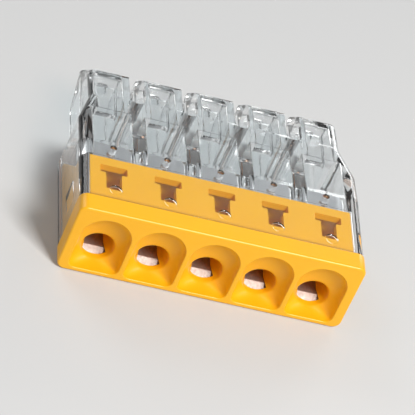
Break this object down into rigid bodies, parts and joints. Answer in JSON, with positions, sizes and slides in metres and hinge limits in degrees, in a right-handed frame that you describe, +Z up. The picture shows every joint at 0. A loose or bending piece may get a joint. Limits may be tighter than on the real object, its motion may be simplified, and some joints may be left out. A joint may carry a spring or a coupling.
{
  "type": "push-wire connector",
  "caption": "Push-wire splicing connector: a coloured entry insert in a clear fingered housing, with sprung leaves that each grip a solid conductor against one shared current bar.",
  "frame": {"origin": "middle of the bounding box's footprint, on the underside that the connector rests on", "axes": "+X across the poles, -Y out of the wire entries, +Y towards the fingers, +Z up from the current bar's side to the springs' side"},
  "size_m": [0.02, 0.0168, 0.0058],
  "materials": {
    "clear_housing": "clear moulded polycarbonate, glossy, faint flow lines",
    "entry_insert": "opaque golden yellow moulded polyamide, satin gloss",
    "current_bar": "tin-plated copper strip, dull silver, copper on the sheared edges",
    "spring": "cold-rolled stainless spring steel, fine grain along the strip"
  },
  "bodies": {
    "connector": {"clear_housing": "clear_housing", "entry_insert": "entry_insert", "current_bar": "current_bar", "spring_anchor_1": "spring", "spring_anchor_2": "spring", "spring_anchor_3": "spring", "spring_anchor_4": "spring", "spring_anchor_5": "spring"},
    "leaf_1": {"spring_leaf_1": "spring"},
    "leaf_2": {"spring_leaf_2": "spring"},
    "leaf_3": {"spring_leaf_3": "spring"},
    "leaf_4": {"spring_leaf_4": "spring"},
    "leaf_5": {"spring_leaf_5": "spring"}
  },
  "joints": [
    {"name": "leaf_1_flex", "type": "hinge", "parent": "connector", "child": "leaf_1", "pos_m": [-0.0076, -0.0007, 0.00431], "axis": [1, 0, 0], "range_deg": [0, 25], "stiffness_Nm_per_rad": 0.05},
    {"name": "leaf_2_flex", "type": "hinge", "parent": "connector", "child": "leaf_2", "pos_m": [-0.0038, -0.0007, 0.00431], "axis": [1, 0, 0], "range_deg": [0, 25], "stiffness_Nm_per_rad": 0.05},
    {"name": "leaf_3_flex", "type": "hinge", "parent": "connector", "child": "leaf_3", "pos_m": [0, -0.0007, 0.00431], "axis": [1, 0, 0], "range_deg": [0, 25], "stiffness_Nm_per_rad": 0.05},
    {"name": "leaf_4_flex", "type": "hinge", "parent": "connector", "child": "leaf_4", "pos_m": [0.0038, -0.0007, 0.00431], "axis": [1, 0, 0], "range_deg": [0, 25], "stiffness_Nm_per_rad": 0.05},
    {"name": "leaf_5_flex", "type": "hinge", "parent": "connector", "child": "leaf_5", "pos_m": [0.0076, -0.0007, 0.00431], "axis": [1, 0, 0], "range_deg": [0, 25], "stiffness_Nm_per_rad": 0.05}
  ]
}
